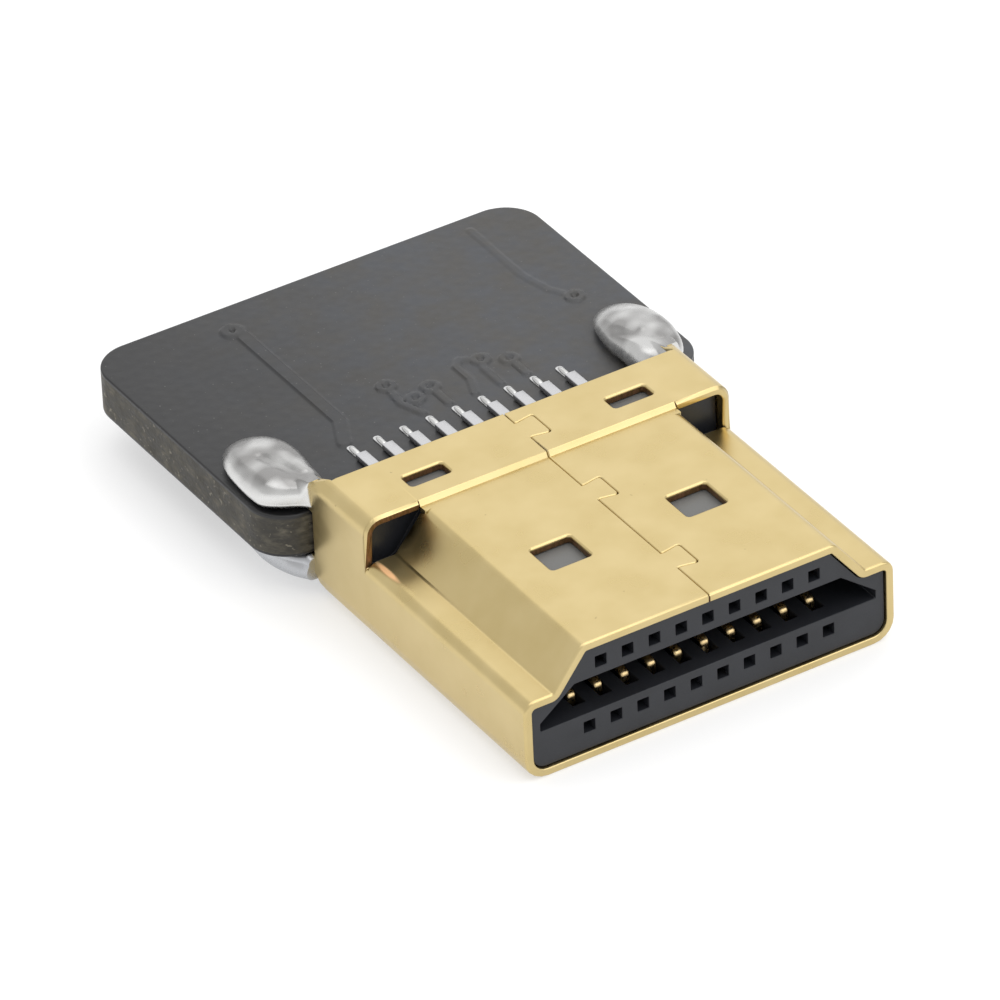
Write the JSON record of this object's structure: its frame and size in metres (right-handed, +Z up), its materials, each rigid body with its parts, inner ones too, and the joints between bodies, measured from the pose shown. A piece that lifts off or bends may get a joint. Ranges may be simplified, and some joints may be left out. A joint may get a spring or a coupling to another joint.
{
  "type": "video connector plug",
  "caption": "Gold-plated male video plug with a sloped, folded shell and two rows of sprung contacts, soldered astride the front edge of a small black circuit board.",
  "frame": {"origin": "on the plane of the shell's flat underside, below the middle of the whole part's length and width", "axes": "+X across the plug to the right when seen from behind, +Y from the mouth to the board's rear edge, +Z up from the shell's flat floor to its sloped roof"},
  "size_m": [0.0168, 0.0248, 0.0046],
  "materials": {
    "gold_plate": "satin gold plating on brass sheet",
    "contact_plate": "gold-plated noses, tinned tails",
    "moulding": "satin black moulding",
    "solder_mask": "satin black solder mask on glass-fibre laminate",
    "masked_copper": "copper under black solder mask",
    "tinned_copper": "tinned copper",
    "solder": "bright solder, slightly uneven"
  },
  "bodies": {
    "root": {"shell": "gold_plate", "insulator": "moulding", "upper_contact_1": "contact_plate", "upper_contact_2": "contact_plate", "upper_contact_3": "contact_plate", "upper_contact_4": "contact_plate", "upper_contact_5": "contact_plate", "upper_contact_6": "contact_plate", "upper_contact_7": "contact_plate", "upper_contact_8": "contact_plate", "upper_contact_9": "contact_plate", "lower_contact_1": "contact_plate", "lower_contact_2": "contact_plate", "lower_contact_3": "contact_plate", "lower_contact_4": "contact_plate", "lower_contact_5": "contact_plate", "lower_contact_6": "contact_plate", "lower_contact_7": "contact_plate", "lower_contact_8": "contact_plate", "lower_contact_9": "contact_plate", "lower_contact_10": "contact_plate", "circuit_board": "solder_mask", "upper_lands": "tinned_copper", "lower_lands": "tinned_copper", "via_barrels": "masked_copper", "upper_left_solder": "solder", "upper_right_solder": "solder", "lower_left_solder": "solder", "lower_right_solder": "solder", "upper_lead_solder": "solder", "lower_lead_solder": "solder"}
  },
  "joints": []
}
